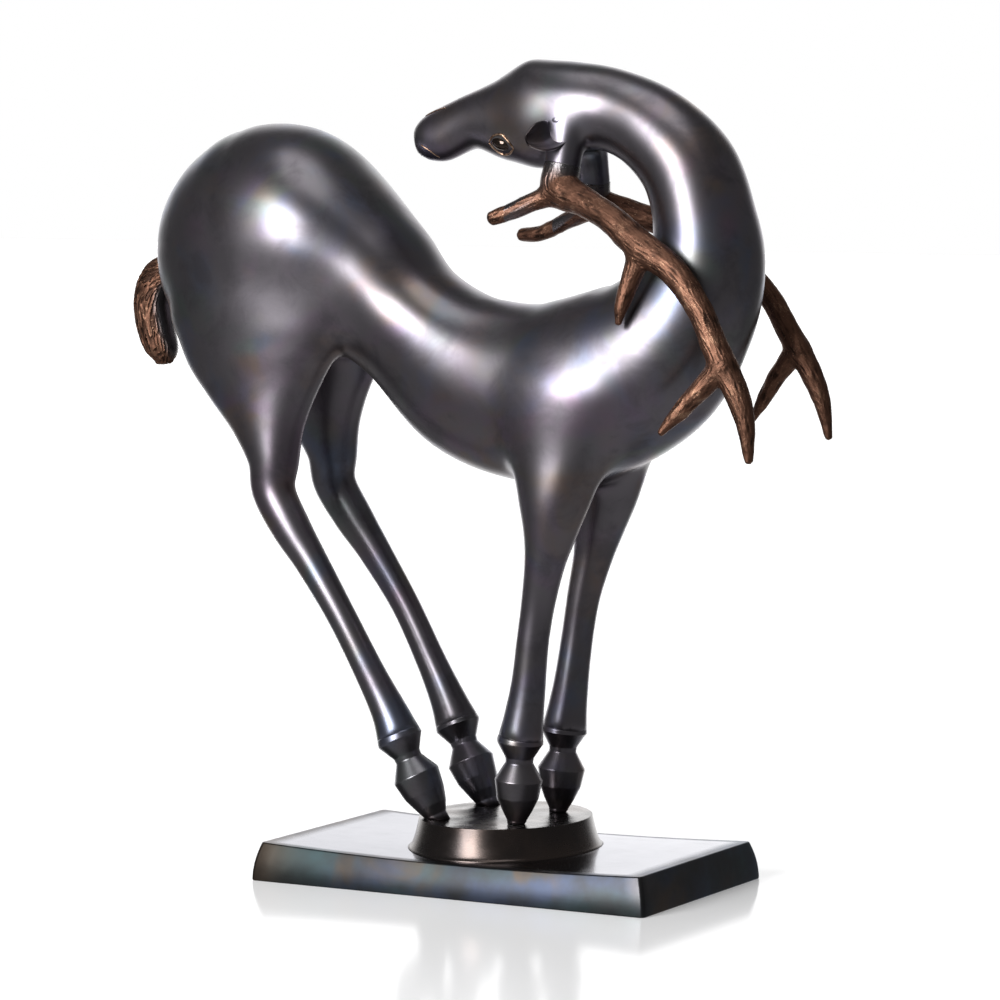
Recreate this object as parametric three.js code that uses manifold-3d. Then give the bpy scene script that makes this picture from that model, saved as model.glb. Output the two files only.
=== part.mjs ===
// Cast bronze stag that stands with its four feet gathered on a small mound and bends its neck back over
// its body, so that the upturned head looks at its own rump and the antlers straddle the neck.
// Millimetres, +Z up, +X the way the body faces, origin at the middle of the plinth's underside.

import * as THREE from 'three';
import { mergeVertices } from 'three/addons/utils/BufferGeometryUtils.js';
import Module from 'manifold-3d';

// Plinth: a low rectangular slab with sides that curve in towards a slightly dished top.
const PLINTH_LENGTH = 300;
const PLINTH_WIDTH = 175;
const PLINTH_HEIGHT = 26;
const PLINTH_TAPER = 5.2;
const PLINTH_CORNER = 3;
const PLINTH_SAG = 3.6;
const PLINTH_CROWN = 1.4;

// Mound: a low oval boss on the plinth, with a sloping side.
const MOUND_LENGTH = 133;
const MOUND_WIDTH = 148;
const MOUND_HEIGHT = 18.5;
const MOUND_SLOPE = 8.2;

// The deer, from its soles to the top of its bent throat. Its free form is in hundredths of this height.
const DEER_HEIGHT = 512;

// Clearance that each piece keeps to the one it rests on.
const SEAT_GAP = 0.3;

const MOUND_TOP = PLINTH_HEIGHT + MOUND_HEIGHT;
const SOLE_LEVEL = MOUND_TOP + SEAT_GAP;
const UNIT = DEER_HEIGHT / 100;

const wasm = await Module();
wasm.setup();

// Turns a closed geometry into a solid for joining and cutting.
function solidOf(geometry) {
  const bare = geometry.clone();
  bare.deleteAttribute('normal');
  bare.deleteAttribute('uv');
  const merged = mergeVertices(bare, 1e-4);
  const vertProperties = new Float32Array(merged.attributes.position.array);
  const triVerts = new Uint32Array(merged.index.array);
  return new wasm.Manifold(new wasm.Mesh({ numProp: 3, vertProperties, triVerts }));
}

// Turns a solid back into a geometry.
function geometryOf(solid) {
  const mesh = solid.getMesh();
  const geometry = new THREE.BufferGeometry();
  geometry.setAttribute('position', new THREE.BufferAttribute(new Float32Array(mesh.vertProperties), 3));
  geometry.setIndex(new THREE.BufferAttribute(new Uint32Array(mesh.triVerts), 1));
  geometry.computeVertexNormals();
  return geometry;
}

// Skins a stack of closed rings of equal count and closes each end with a fan about its middle.
function skin(rings) {
  const count = rings[0].length;
  const positions = rings.flat().flatMap((point) => [point.x, point.y, point.z]);
  const middle = (ring) => {
    const sum = ring.reduce((total, point) => total.add(point), new THREE.Vector3());
    return sum.divideScalar(count);
  };
  const first = middle(rings[0]);
  const last = middle(rings[rings.length - 1]);
  positions.push(first.x, first.y, first.z, last.x, last.y, last.z);
  const firstIndex = rings.length * count;
  const lastIndex = firstIndex + 1;
  const lastRing = (rings.length - 1) * count;
  const index = [];
  for (let k = 0; k < count; k += 1) {
    const next = (k + 1) % count;
    index.push(firstIndex, next, k);
    index.push(lastIndex, lastRing + k, lastRing + next);
    for (let ring = 0; ring < rings.length - 1; ring += 1) {
      const here = ring * count;
      const above = here + count;
      index.push(here + k, here + next, above + next);
      index.push(here + k, above + next, above + k);
    }
  }
  const geometry = new THREE.BufferGeometry();
  geometry.setAttribute('position', new THREE.Float32BufferAttribute(positions, 3));
  geometry.setIndex(index);
  return geometry;
}

// Smooth value between the rows of a table, by a cubic through the two rows on each side.
function between(rows, place) {
  const start = Math.min(Math.floor(place), rows.length - 2);
  const t = place - start;
  const row = (k) => rows[Math.min(Math.max(k, 0), rows.length - 1)];
  const [a, b, c, d] = [row(start - 1), row(start), row(start + 1), row(start + 2)];
  return b.map((value, k) => {
    const slopeB = (c[k] - a[k]) / 2;
    const slopeC = (d[k] - b[k]) / 2;
    const t2 = t * t;
    const t3 = t2 * t;
    return value * (2 * t3 - 3 * t2 + 1) + slopeB * (t3 - 2 * t2 + t)
      + c[k] * (3 * t2 - 2 * t3) + slopeC * (t3 - t2);
  });
}

// Place and direction along a table's path, as a ring of points. Depth is the half size towards the front
// of the path and width the half size across it.
function oval(centre, along, depth, width, sides) {
  const front = new THREE.Vector3(0, 1, 0).cross(along).normalize();
  const across = along.clone().cross(front);
  const ring = [];
  for (let k = 0; k < sides; k += 1) {
    const angle = (2 * Math.PI * (k + 0.5)) / sides;
    ring.push(centre.clone()
      .addScaledVector(front, depth * Math.cos(angle))
      .addScaledVector(across, width * Math.sin(angle)));
  }
  return ring;
}

// Rings that follow a table of rows [x, y, z, depth, width], in hundredths of the deer's height.
function ringsAlong(rows, sides, steps) {
  const total = (rows.length - 1) * steps;
  const stations = [];
  for (let k = 0; k <= total; k += 1) {
    stations.push(between(rows, k / steps));
  }
  const point = (k) => new THREE.Vector3(...stations[Math.min(Math.max(k, 0), total)].slice(0, 3));
  return stations.map(([, , , depth, width], k) => {
    const along = point(k + 1).sub(point(k - 1)).normalize();
    return { centre: point(k), along, depth, width, ring: oval(point(k), along, depth, width, sides) };
  });
}

// Rings that round an end off by the length given, outwards from the station.
function roundEnd(station, length, sign, sides, turns) {
  return turns.map((turn) => {
    const angle = THREE.MathUtils.degToRad(turn);
    const centre = station.centre.clone().addScaledVector(station.along, sign * length * Math.sin(angle));
    const shrink = Math.cos(angle);
    return oval(centre, station.along, station.depth * shrink, station.width * shrink, sides);
  });
}

// Closed limb along a table, with its first end flat or rounded and its last end rounded.
function limb(rows, { sides, steps, firstCap = 0, lastCap, turns = [35, 65] }) {
  const stations = ringsAlong(rows, sides, steps);
  const rings = stations.map((station) => station.ring);
  const before = firstCap > 0 ? roundEnd(stations[0], firstCap, -1, sides, turns).reverse() : [];
  const after = roundEnd(stations[stations.length - 1], lastCap, 1, sides, turns);
  return solidOf(skin([...before, ...rings, ...after]));
}

// Leg along a table down to its rim, and below it the turned fetlock and hoof on a straight axis to the toe.
function leg(rows, toe) {
  const sides = 12;
  const stations = ringsAlong(rows, sides, 2);
  const rim = stations[stations.length - 1].centre;
  const axis = new THREE.Vector3(...toe).sub(rim);
  const along = axis.clone().normalize();
  const turned = HOOF.map(([share, radius]) => {
    const centre = rim.clone().addScaledVector(axis, share);
    return oval(centre, along, radius, radius, sides);
  });
  return solidOf(skin([...stations.map((station) => station.ring), ...turned]));
}

// Mirrors a table's rows to the side given: 1 is the deer's left, -1 its right.
const onSide = (rows, side) => rows.map(([x, y, ...rest]) => [x, side * y, ...rest]);

// Spine from the rump over the waist, chest and neck to the muzzle, as [x, y, z, depth, width].
const SPINE = [
  [-52.2, 0, 74.1, 3.9, 3.0],
  [-50.4, 0, 74.1, 8.6, 6.4],
  [-47.2, 0, 74.1, 12.2, 9.1],
  [-43.1, 0, 74.2, 14.7, 11.0],
  [-38.3, 0, 74.5, 16.2, 12.2],
  [-32.8, 0, 74.7, 16.4, 12.9],
  [-27.0, 0, 73.0, 13.8, 12.2],
  [-20.7, 0, 70.0, 10.8, 9.9],
  [-14.4, 0, 64.9, 9.1, 9.0],
  [-5.3, 0, 58.4, 10.9, 8.9],
  [3.9, 0, 56.2, 11.7, 9.8],
  [12.1, 0, 57.1, 12.1, 10.4],
  [21.0, 0, 61.1, 11.2, 9.8],
  [26.6, 0, 67.2, 9.3, 8.4],
  [29.2, 0, 73.7, 7.9, 7.5],
  [29.1, 0, 79.1, 6.7, 6.8],
  [26.9, 0, 85.6, 6.3, 6.3],
  [21.9, 0, 90.5, 5.7, 5.6],
  [16.0, 0, 93.1, 5.4, 4.9],
  [10.2, 0, 93.6, 5.9, 5.4],
  [5.3, 0, 92.7, 7.2, 5.4],
  [0.6, 0, 92.1, 5.7, 4.3],
  [-4.7, 0, 91.7, 3.7, 3.3],
  [-9.4, 0, 89.9, 3.5, 2.8],
  [-12.2, 0, 88.9, 2.5, 2.1],
];
const RUMP_CAP = 0.8;
const MUZZLE_CAP = 1.4;

// Hind leg from the hip through the thigh and hock to the rim above the fetlock.
const HIND_LEG = [
  [-35.5, 6.0, 74.0, 10.0, 3.0],
  [-34.8, 6.3, 67.0, 12.8, 5.6],
  [-33.2, 6.6, 61.0, 11.7, 4.9],
  [-32.1, 6.9, 56.2, 8.0, 4.2],
  [-32.1, 7.3, 51.0, 5.45, 3.6],
  [-31.3, 7.6, 46.5, 3.6, 3.2],
  [-31.1, 7.9, 42.4, 3.0, 2.7],
  [-28.2, 8.2, 37.6, 2.7, 2.5],
  [-25.0, 8.3, 33.2, 2.3, 2.1],
  [-20.3, 8.4, 26.2, 2.0, 1.85],
  [-16.1, 8.1, 18.8, 2.1, 1.95],
  [-13.3, 7.8, 13.7, 2.5, 2.35],
  [-11.7, 7.8, 10.2, 3.1, 3.0],
];
const HIND_TOE = [-6.9, 6.9, 0];

// Foreleg from the shoulder to the rim above the fetlock.
const FORE_LEG = [
  [12.0, 5.6, 56.0, 8.0, 4.6],
  [11.4, 6.4, 49.0, 6.8, 4.4],
  [10.9, 6.9, 43.0, 5.0, 4.0],
  [10.3, 6.9, 38.6, 3.6, 3.4],
  [9.5, 6.8, 34.6, 2.7, 2.7],
  [8.3, 6.4, 29.2, 2.25, 2.2],
  [7.4, 6.3, 23.8, 2.15, 2.1],
  [6.7, 6.1, 18.4, 2.3, 2.25],
  [6.0, 6.1, 13.9, 2.65, 2.6],
  [5.5, 6.1, 10.8, 3.1, 3.0],
];
const FORE_TOE = [4.8, 5.8, 0];

// Turned fetlock and hoof below the rim, as [share of the way to the toe, radius].
const HOOF = [
  [0.05, 2.95],
  [0.19, 1.85],
  [0.25, 1.8],
  [0.46, 3.1],
  [0.52, 3.1],
  [0.68, 2.7],
  [0.84, 1.95],
  [0.96, 1.25],
  [1.1, 1.1],
];

// Antler pieces: the pedicle and beam with its blunt tip, then the three tines.
const BEAM = [
  [10.4, 2.8, 92.6, 2.6, 2.2],
  [10.6, 3.3, 89.8, 2.8, 2.4],
  [10.8, 4.2, 86.6, 2.4, 2.2],
  [10.9, 5.0, 83.2, 2.5, 2.3],
  [15.4, 6.5, 81.3, 1.85, 1.8],
  [19.7, 7.7, 79.2, 1.8, 1.8],
  [24.3, 8.8, 76.0, 2.0, 1.9],
  [29.3, 9.6, 73.0, 1.8, 1.7],
  [33.4, 10.3, 68.3, 1.6, 1.5],
  [36.0, 10.8, 63.4, 1.7, 1.5],
  [38.9, 11.0, 58.2, 1.6, 1.4],
  [40.3, 11.0, 53.9, 1.2, 1.1],
  [40.8, 11.0, 49.4, 0.5, 0.5],
];
const BROW_TINE = [
  [11.2, 5.0, 82.8, 1.6, 1.5],
  [7.6, 5.8, 81.5, 1.2, 1.2],
  [4.4, 6.6, 80.1, 1.1, 1.1],
  [2.0, 7.3, 79.2, 0.75, 0.75],
];
const MIDDLE_TINE = [
  [24.6, 8.8, 75.6, 1.7, 1.6],
  [23.0, 9.3, 71.2, 1.2, 1.1],
  [22.2, 9.8, 68.4, 0.9, 0.9],
  [21.9, 10.1, 66.3, 0.4, 0.4],
];
const FORK_TINE = [
  [37.4, 10.9, 61.4, 1.6, 1.5],
  [34.2, 11.5, 58.1, 1.3, 1.2],
  [31.4, 12.2, 55.0, 1.0, 0.9],
  [29.4, 12.8, 52.7, 0.4, 0.4],
];
// The left antler is a little slimmer and is turned about its middle, so that its root sits lower and its
// tip higher than the right one's. Its brow tine is longer, and its tip leans out below the fork.
const LEFT_SLIMNESS = 0.9;
const LEFT_TURN = 0.127;
const LEFT_TURN_MIDDLE = 28;
const LEFT_BROW_REACH = 1.38;
const LEFT_LEAN = 0.1;
const LEFT_LEAN_START = 58;

// Ear: a leaf that stands out sideways from behind the eye.
const EAR = [
  [10.2, 2.9, 91.4, 1.2, 0.9],
  [9.6, 5.6, 90.9, 1.8, 1.0],
  [9.0, 8.0, 90.5, 1.9, 0.9],
  [8.3, 9.9, 90.1, 0.7, 0.5],
];

// Tail: a short tuft that hangs against the rump and ends in a blunt point.
const TAIL = [
  [-51.0, 0, 73.0, 1.2, 1.4],
  [-54.3, 0, 70.4, 2.4, 2.2],
  [-55.4, 0, 67.0, 2.6, 2.6],
  [-54.8, 0, 63.1, 2.6, 2.5],
  [-53.8, 0, 60.3, 2.2, 2.1],
  [-53.6, 0, 58.7, 1.2, 1.2],
];

// Everything below the soles, cut away so that the toes stand flat.
function groundBlock() {
  const size = 200;
  const block = new THREE.BoxGeometry(size, size, size);
  block.translate(0, 0, -size / 2);
  return solidOf(block);
}

// Turns an antler row of the left side about the antler's middle and leans its tip out.
function turnedLeft([x, y, z, depth, width]) {
  const lean = LEFT_LEAN * Math.max(0, LEFT_LEAN_START - z);
  const turn = LEFT_TURN * (x - LEFT_TURN_MIDDLE);
  return [x + lean, y, z + turn, depth * LEFT_SLIMNESS, width * LEFT_SLIMNESS];
}

// Draws a row out from the antler's root along X.
const drawnOut = ([x, ...rest]) => [BROW_TINE[0][0] - LEFT_BROW_REACH * (BROW_TINE[0][0] - x), ...rest];

function buildAntler(side) {
  const left = side > 0;
  const place = (rows) => onSide(left ? rows.map(turnedLeft) : rows, side);
  const brow = left ? BROW_TINE.map(drawnOut) : BROW_TINE;
  const shape = { sides: 8, steps: 2, lastCap: 0.4 };
  return limb(place(BEAM), { ...shape, turns: [40, 70] })
    .add(limb(place(brow), { ...shape, lastCap: 0.6 }))
    .add(limb(place(MIDDLE_TINE), shape))
    .add(limb(place(FORK_TINE), shape));
}

function buildDeer() {
  let deer = limb(SPINE, { sides: 24, steps: 2, firstCap: RUMP_CAP, lastCap: MUZZLE_CAP });
  for (const side of [-1, 1]) {
    const toeOf = ([x, y, z]) => [x, side * y, z];
    deer = deer.add(leg(onSide(HIND_LEG, side), toeOf(HIND_TOE)));
    deer = deer.add(leg(onSide(FORE_LEG, side), toeOf(FORE_TOE)));
    deer = deer.add(buildAntler(side));
    deer = deer.add(limb(onSide(EAR, side), { sides: 8, steps: 2, lastCap: 0.3 }));
  }
  deer = deer.add(limb(TAIL, { sides: 10, steps: 2, firstCap: 0.6, lastCap: 0.6 })).subtract(groundBlock());
  const geometry = geometryOf(deer);
  geometry.scale(UNIT, UNIT, UNIT);
  geometry.translate(0, 0, SOLE_LEVEL);
  return geometry;
}

// Ring of points round a rectangle with rounded corners.
function roundedRectangle(halfLength, halfWidth, corner, level) {
  const points = [];
  const cornerSteps = 2;
  const edgeSteps = 7;
  const quarters = [[1, 1, 0], [-1, 1, 90], [-1, -1, 180], [1, -1, 270]];
  quarters.forEach(([signX, signY, startAngle], q) => {
    const centreX = signX * (halfLength - corner);
    const centreY = signY * (halfWidth - corner);
    for (let k = 0; k <= cornerSteps; k += 1) {
      const angle = THREE.MathUtils.degToRad(startAngle + (90 * k) / cornerSteps);
      points.push([centreX + corner * Math.cos(angle), centreY + corner * Math.sin(angle)]);
    }
    const [nextX, nextY] = quarters[(q + 1) % 4];
    const here = points[points.length - 1];
    const nextAngle = THREE.MathUtils.degToRad(startAngle + 90);
    const there = [
      nextX * (halfLength - corner) + corner * Math.cos(nextAngle),
      nextY * (halfWidth - corner) + corner * Math.sin(nextAngle),
    ];
    for (let k = 1; k < edgeSteps; k += 1) {
      const t = k / edgeSteps;
      points.push([here[0] + (there[0] - here[0]) * t, here[1] + (there[1] - here[1]) * t]);
    }
  });
  return points.map(([x, y]) => new THREE.Vector3(x, y, level(x, y)));
}

// Height of the plinth's top, which sags in the middle of its length, less so under the mound.
function plinthTop(x, y) {
  const along = 1 - Math.min(1, (x / (PLINTH_LENGTH / 2 - PLINTH_TAPER)) ** 2);
  const inward = 1 - Math.min(1, (y / (PLINTH_WIDTH / 2 - PLINTH_TAPER)) ** 2);
  return PLINTH_HEIGHT - along * (PLINTH_SAG - PLINTH_CROWN * inward);
}

function buildPlinth() {
  const halfLength = PLINTH_LENGTH / 2;
  const halfWidth = PLINTH_WIDTH / 2;
  const rings = [];
  for (const share of [0, 0.3, 0.6, 0.85, 1]) {
    const inset = PLINTH_TAPER * share ** 2;
    const level = (x, y) => share * plinthTop(x, y);
    rings.push(roundedRectangle(halfLength - inset, halfWidth - inset, PLINTH_CORNER, level));
  }
  for (const share of [0.86, 0.68, 0.48, 0.26, 0.08]) {
    const ring = roundedRectangle((halfLength - PLINTH_TAPER) * share, (halfWidth - PLINTH_TAPER) * share,
      PLINTH_CORNER * share, plinthTop);
    rings.push(ring);
  }
  return skin(rings);
}

function ovalRing(halfLength, halfWidth, level) {
  const count = 44;
  const ring = [];
  for (let k = 0; k < count; k += 1) {
    const angle = (2 * Math.PI * k) / count;
    ring.push(new THREE.Vector3(halfLength * Math.cos(angle), halfWidth * Math.sin(angle), level));
  }
  return ring;
}

// The mound, cut from below by the plinth raised by the clearance, so that it fits the dished top.
function buildMound(plinthGeometry) {
  const halfLength = MOUND_LENGTH / 2;
  const halfWidth = MOUND_WIDTH / 2;
  const buried = PLINTH_HEIGHT / 2;
  const rings = [ovalRing(halfLength, halfWidth, buried)];
  for (const share of [0, 0.3, 0.65, 0.94]) {
    const foot = PLINTH_HEIGHT - PLINTH_SAG;
    const inset = MOUND_SLOPE * Math.sqrt(share);
    rings.push(ovalRing(halfLength - inset, halfWidth - inset, foot + (MOUND_TOP - foot) * share));
  }
  const shoulder = MOUND_SLOPE + 1;
  rings.push(ovalRing(halfLength - shoulder, halfWidth - shoulder, MOUND_TOP));
  const raised = plinthGeometry.clone();
  raised.translate(0, 0, SEAT_GAP);
  return geometryOf(solidOf(skin(rings)).subtract(solidOf(raised)));
}

function piece(name, geometry, color, roughness) {
  const material = new THREE.MeshStandardMaterial({ color, roughness, metalness: 1 });
  const mesh = new THREE.Mesh(geometry, material);
  mesh.name = name;
  return mesh;
}

const plinthGeometry = buildPlinth();
const sculpture = new THREE.Group();
sculpture.add(piece('plinth', plinthGeometry, 0x4a4f52, 0.3));
sculpture.add(piece('mound', buildMound(plinthGeometry), 0x4b423f, 0.32));
sculpture.add(piece('deer', buildDeer(), 0x4d4b4d, 0.28));

export default sculpture;
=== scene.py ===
# Polished bronze stag on an oval mound and a rectangular plinth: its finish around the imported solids.
# Metres, +Z up, +X the way the body faces, origin at the middle of the plinth's underside.
import math

import bpy
import numpy as np
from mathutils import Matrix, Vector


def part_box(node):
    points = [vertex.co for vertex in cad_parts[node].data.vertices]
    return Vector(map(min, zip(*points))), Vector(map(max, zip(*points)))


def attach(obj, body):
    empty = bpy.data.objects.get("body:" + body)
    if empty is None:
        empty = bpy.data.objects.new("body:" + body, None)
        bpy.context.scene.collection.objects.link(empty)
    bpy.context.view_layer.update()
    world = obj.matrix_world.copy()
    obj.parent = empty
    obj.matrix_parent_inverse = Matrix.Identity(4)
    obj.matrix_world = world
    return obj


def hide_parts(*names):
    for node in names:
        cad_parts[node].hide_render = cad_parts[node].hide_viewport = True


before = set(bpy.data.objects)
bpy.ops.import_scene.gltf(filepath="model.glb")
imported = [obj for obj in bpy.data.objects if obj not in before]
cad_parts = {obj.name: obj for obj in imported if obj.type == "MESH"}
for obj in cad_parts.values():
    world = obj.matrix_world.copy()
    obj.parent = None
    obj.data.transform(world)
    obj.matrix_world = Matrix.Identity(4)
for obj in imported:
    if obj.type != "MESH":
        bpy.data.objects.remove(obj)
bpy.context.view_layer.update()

MM = 0.001

# Plinth
# The real plinth is a low hollow casting in dark bronze, open below and polished like a mirror on top. Its
# four sides curve in towards the top, which was left slightly dished, and its edges are just eased.
PLINTH_TAPER = 5.2 * MM
PLINTH_CORNER = 3 * MM
PLINTH_SAG = 3.6 * MM
PLINTH_CROWN = 1.4 * MM
PLINTH_EASING = 1.1 * MM

half_length, half_width, plinth_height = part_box("plinth")[1]


def plinth_top(x, y):
    """Height of the top: the full height at the edges, less a sag along the length that is smaller in the
    middle of the width."""
    along = 1 - np.minimum(1, (x / (half_length - PLINTH_TAPER)) ** 2)
    inward = 1 - np.minimum(1, (y / (half_width - PLINTH_TAPER)) ** 2)
    return plinth_height - along * (PLINTH_SAG - PLINTH_CROWN * inward)


def eased(corners, reach, steps=4):
    """A polyline whose inner corners are replaced by parabolas that leave and join it at the reach given,
    with one more point just outside each parabola, so that flats stay flat up to the edge."""
    corners = np.asarray(corners, float)
    points = [corners[:1]]
    share = np.linspace(0, 1, steps + 1)[:, None]
    for before, corner, after in zip(corners[:-2], corners[1:-1], corners[2:]):
        back, ahead = before - corner, after - corner
        back_length, ahead_length = np.linalg.norm(back), np.linalg.norm(ahead)
        start = corner + back * min(reach / back_length, 0.4)
        end = corner + ahead * min(reach / ahead_length, 0.4)
        curve = start * (1 - share) ** 2 + 2 * corner * share * (1 - share) + end * share ** 2
        guard_before = corner + back * min(1.5 * reach / back_length, 0.45)
        guard_after = corner + ahead * min(1.5 * reach / ahead_length, 0.45)
        points += [guard_before[None], curve, guard_after[None]]
    return np.concatenate(points + [corners[-1:]])


def rounded_rectangle(length, width, corner, corner_steps=6, edge_steps=28):
    """Points round a rectangle of those half sizes: quarter circles at the corners, even steps between."""
    quarter = np.linspace(0, np.pi / 2, corner_steps + 1)
    arcs = []
    for turn, (side_x, side_y) in enumerate([(1, 1), (-1, 1), (-1, -1), (1, -1)]):
        angle = quarter + turn * np.pi / 2
        middle = np.array([side_x * (length - corner), side_y * (width - corner)])
        arcs.append(middle + corner * np.stack([np.cos(angle), np.sin(angle)], 1))
    share = np.arange(1, edge_steps)[:, None] / edge_steps
    ring = []
    for turn in range(4):
        here, there = arcs[turn][-1], arcs[(turn + 1) % 4][0]
        ring += [arcs[turn], here + (there - here) * share]
    return np.concatenate(ring)


def closed_surface(rings):
    """Points and faces of a stack of rings, an array of rings x points x 3: quads between neighbouring
    rings, and a fan to the middle of the first and of the last ring."""
    count, around = rings.shape[:2]
    index = np.arange(count * around).reshape(count, around)
    ahead = np.roll(index, -1, axis=1)
    quads = np.stack([index[:-1], ahead[:-1], ahead[1:], index[1:]], -1).reshape(-1, 4)
    first = np.full(around, count * around)
    start_fan = np.stack([first, ahead[0], index[0]], 1)
    end_fan = np.stack([first + 1, index[-1], ahead[-1]], 1)
    points = np.concatenate([rings.reshape(-1, 3), rings[:1].mean(1), rings[-1:].mean(1)])
    return points, [quads, start_fan, end_fan]


def add_piece(name, points, faces, finish, slot="deer_bronze", replaced=(), normals=None):
    """Makes a smooth-shaded piece of points and face arrays, gives it its finish and fixes it to the part."""
    mesh = bpy.data.meshes.new(name)
    mesh.vertices.add(len(points))
    mesh.vertices.foreach_set("co", np.asarray(points, np.float32).ravel())
    corners = np.concatenate([part.ravel() for part in faces])
    sizes = np.concatenate([np.full(len(part), part.shape[1]) for part in faces])
    mesh.loops.add(len(corners))
    mesh.loops.foreach_set("vertex_index", corners.astype(np.int32))
    mesh.polygons.add(len(sizes))
    mesh.polygons.foreach_set("loop_start", (np.cumsum(sizes) - sizes).astype(np.int32))
    mesh.update(calc_edges=True)
    mesh.validate()
    mesh.shade_smooth()
    if normals is not None:
        mesh.normals_split_custom_set_from_vertices(normals.tolist())
    mesh.materials.append(finish)
    piece = bpy.data.objects.new(name, mesh)
    bpy.context.scene.collection.objects.link(piece)
    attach(piece, "root")
    if replaced:
        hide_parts(*replaced)
    return piece


def add_rings(name, rings, finish, *others):
    """Makes a piece of the closed surface over a stack of rings."""
    return add_piece(name, *closed_surface(np.array(rings)), finish, *others)


class Wire:
    """A socket of a node tree that gives a value. Its operators add Math nodes, so that a formula on values
    reads as one, and its node method adds any other node."""

    def __init__(self, tree, socket=None):
        self.tree = tree
        self.socket = socket

    def node(self, kind, settings=None, inputs=None, output=0):
        """Adds a node of that kind, sets it, feeds its sockets by their identifiers, and gives an output."""
        made = self.tree.nodes.new("ShaderNode" + kind)
        for name, value in (settings or {}).items():
            setattr(made, name, value)
        sockets = {socket.identifier: socket for socket in made.inputs}
        for name, value in (inputs or {}).items():
            if isinstance(value, Wire):
                self.tree.links.new(value.socket, sockets[name])
            else:
                sockets[name].default_value = value
        outputs = {socket.identifier: socket for socket in made.outputs}
        return Wire(self.tree, outputs[output] if isinstance(output, str) else made.outputs[output])

    def math(self, operation, *values):
        return self.node("Math", {"operation": operation}, dict(zip(("Value", "Value_001"), values)))

    def __add__(self, other):
        return self.math("ADD", self, other)

    def __radd__(self, other):
        return self.math("ADD", other, self)

    def __sub__(self, other):
        return self.math("SUBTRACT", self, other)

    def __rsub__(self, other):
        return self.math("SUBTRACT", other, self)

    def __mul__(self, other):
        return self.math("MULTIPLY", self, other)

    def __rmul__(self, other):
        return self.math("MULTIPLY", other, self)

    def within(self, low, high):
        """0 below low, 1 above high, and smooth between them."""
        settings = {"interpolation_type": "SMOOTHSTEP"}
        inputs = {"Value": self, "From Min": low, "From Max": high, "To Min": 0.0, "To Max": 1.0}
        return self.node("MapRange", settings, inputs)

    def blend(self, first, second):
        """The first colour where this value is 0, the second where it is 1."""
        inputs = {"Factor_Float": self}
        for name, colour in (("A_Color", first), ("B_Color", second)):
            inputs[name] = colour if isinstance(colour, Wire) else (*colour, 1)
        return self.node("Mix", {"data_type": "RGBA"}, inputs, "Result_Color")

    def noise(self, scale, detail=2.0, roughness=0.5, stretch=(1, 1, 1), turn=(0, 0, 0), warp=0.0):
        """Noise from 0 to 1 on these coordinates, which are turned and stretched first."""
        placed = self.node("Mapping", {}, {"Vector": self, "Rotation": turn, "Scale": stretch})
        inputs = {"Vector": placed, "Scale": scale, "Detail": detail, "Roughness": roughness}
        inputs["Distortion"] = warp
        return self.node("TexNoise", {"noise_dimensions": "3D"}, inputs, 0)


def new_finish(name, metallic, recipe, constants=None):
    """Makes a material whose colour, roughness and relief the recipe gives for Object coordinates. The
    recipe returns colour, roughness, and relief as a height with its strength and its depth in metres.
    Constants are values of the shader's other sockets."""
    material = bpy.data.materials.new(name)
    material.use_nodes = True
    tree = material.node_tree
    tree.nodes.clear()
    start = Wire(tree)
    place = start.node("TexCoord", output="Object")
    colour, roughness, height, strength, depth = recipe(place)
    bump_inputs = {"Strength": strength, "Distance": depth, "Height": height}
    bump = start.node("Bump", {}, bump_inputs)
    inputs = {"Base Color": colour, "Roughness": roughness, "Metallic": metallic, "Normal": bump}
    surface = start.node("BsdfPrincipled", {}, inputs | (constants or {}), "BSDF")
    output = tree.nodes.new("ShaderNodeOutputMaterial")
    tree.links.new(surface.socket, output.inputs["Surface"])
    return material


PLINTH_DARK = (0.055, 0.056, 0.058)
PLINTH_TEAL = (0.066, 0.098, 0.104)
PLINTH_BLUE = (0.070, 0.085, 0.130)
PLINTH_BROWN = (0.110, 0.085, 0.066)
# Painted reflection: the top's colour is lighter so that it reads as the bright backdrop mirrored in it.
PLINTH_TOP_PAINTED_REFLECTION = (0.24, 0.24, 0.25)


def plinth_recipe(place):
    """Dark bronze whose hue drifts from teal and blue to brown, and is brown at the end below the tail, with
    fine rubbing marks along the length. The attribute named mirror is 1 on the top, which is smoother, and
    painted lighter: a painted reflection that brightens the top as if it mirrored the white backdrop."""
    mirror = place.node("Attribute", {"attribute_name": "mirror"}, {}, "Fac")
    drift = place.noise(9, 2.0, stretch=(1, 1, 2.4), warp=0.6).within(0.38, 0.62)
    warm = place.noise(14, 3.0, turn=(0, 0.4, 0.7), warp=0.8).within(0.52, 0.68)
    left_end = (0 - place.node("SeparateXYZ", {}, {"Vector": place}, 0)).within(0.10, 0.15)
    cool = drift.blend(PLINTH_TEAL, PLINTH_BLUE)
    tinted = warm.math("MAXIMUM", warm, left_end).blend(cool, PLINTH_BROWN)
    cloud = place.noise(22, 4.0, 0.6).within(0.3, 0.75)
    # On the top the colour turns to the lighter painted reflection.
    colour = mirror.blend(cloud.blend(tinted, PLINTH_DARK), PLINTH_TOP_PAINTED_REFLECTION)
    rub = place.noise(900, 3.0, 0.6, stretch=(0.05, 0.4, 1))
    smear = place.noise(60, 3.0, 0.6)
    roughness = 0.24 + 0.14 * smear + 0.05 * rub - 0.19 * mirror
    return colour, roughness, rub + 3.0 * smear, 0.12, 0.1 * MM


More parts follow.
